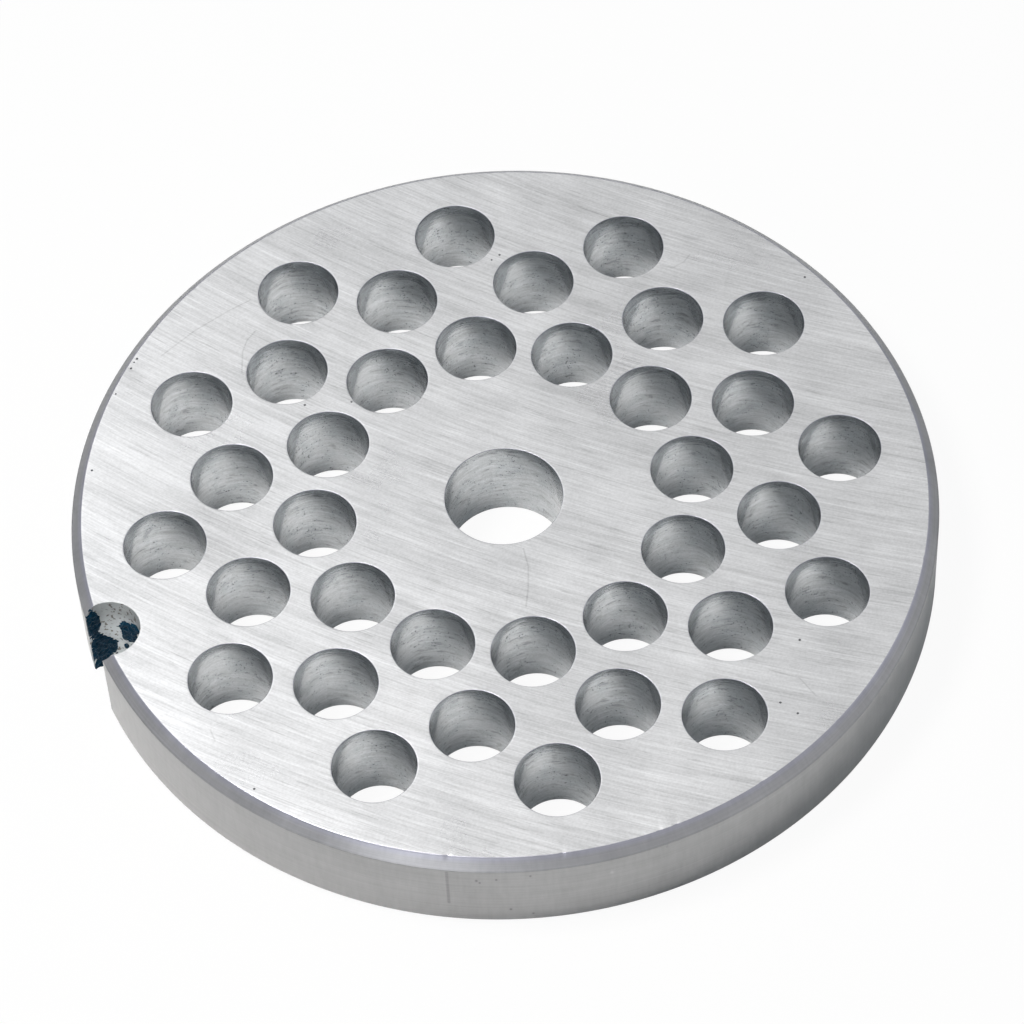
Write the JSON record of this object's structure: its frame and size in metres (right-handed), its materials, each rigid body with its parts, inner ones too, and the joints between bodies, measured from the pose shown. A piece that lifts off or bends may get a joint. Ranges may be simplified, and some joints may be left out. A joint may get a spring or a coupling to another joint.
{
  "type": "meat grinder plate",
  "caption": "Round steel meat grinder plate with rings of drilled holes, a centre bore, a bevelled rim and a locating notch.",
  "frame": {"origin": "on the bore axis, in the bottom face that the plate rests on", "axes": "+Z along the bore axis, from the bottom face to the top face that the knife runs on; -X towards the locating notch in the rim"},
  "size_m": [0.0825, 0.0824, 0.0095],
  "materials": {
    "ground_steel": "ground faces with fine straight scratch lines, drilled holes, turned rim"
  },
  "bodies": {
    "root": {"grinder_plate": "ground_steel"}
  },
  "joints": []
}
